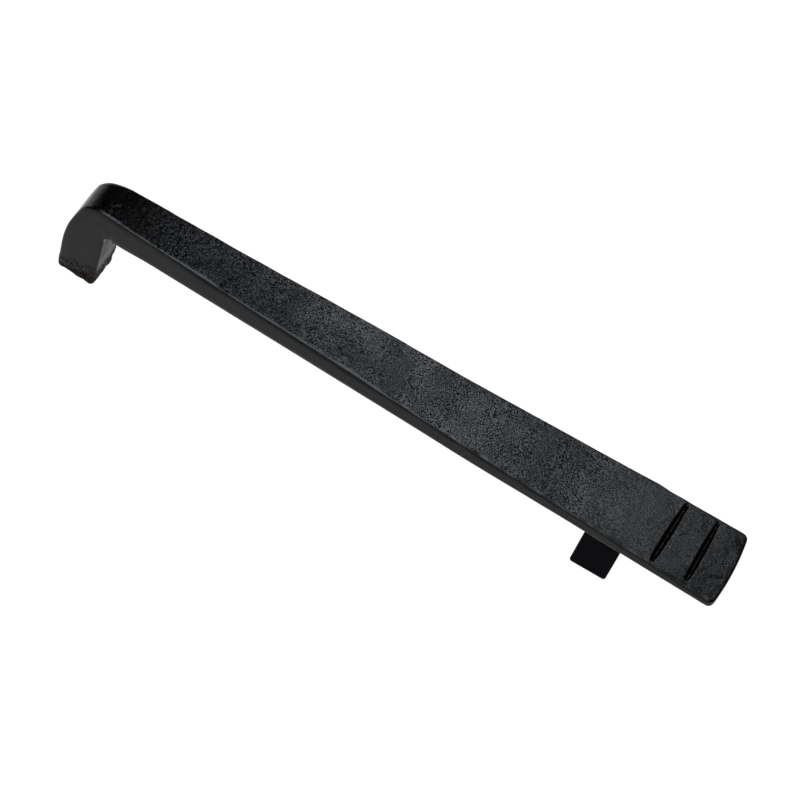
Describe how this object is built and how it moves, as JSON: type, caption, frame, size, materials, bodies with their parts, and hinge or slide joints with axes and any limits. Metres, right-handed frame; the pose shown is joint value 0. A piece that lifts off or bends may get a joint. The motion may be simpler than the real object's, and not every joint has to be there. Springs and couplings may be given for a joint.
{
  "type": "bar pull handle",
  "caption": "Forged black pull handle: flat bar flaring to a gouged free tip, bent down into a square leg at one end and held off by a square post near the other.",
  "frame": {"origin": "midway between the two fixing holes, on the mounting plane", "axes": "+X along the bar towards the wide free tip, +Z out of the mounting plane towards the user's hand, +Y across the bar"},
  "size_m": [0.2529, 0.0314, 0.0412],
  "materials": {
    "bar_paint": "black baked paint over pitted forged iron",
    "post_paint": "black baked paint over smooth square bar",
    "stud_steel": "zinc-plated machined steel",
    "dowel_steel": "ground hardened steel"
  },
  "bodies": {
    "root": {"grip_bar": "bar_paint", "standoff_post": "post_paint", "post_stud": "stud_steel", "locating_dowel": "dowel_steel"}
  },
  "joints": []
}
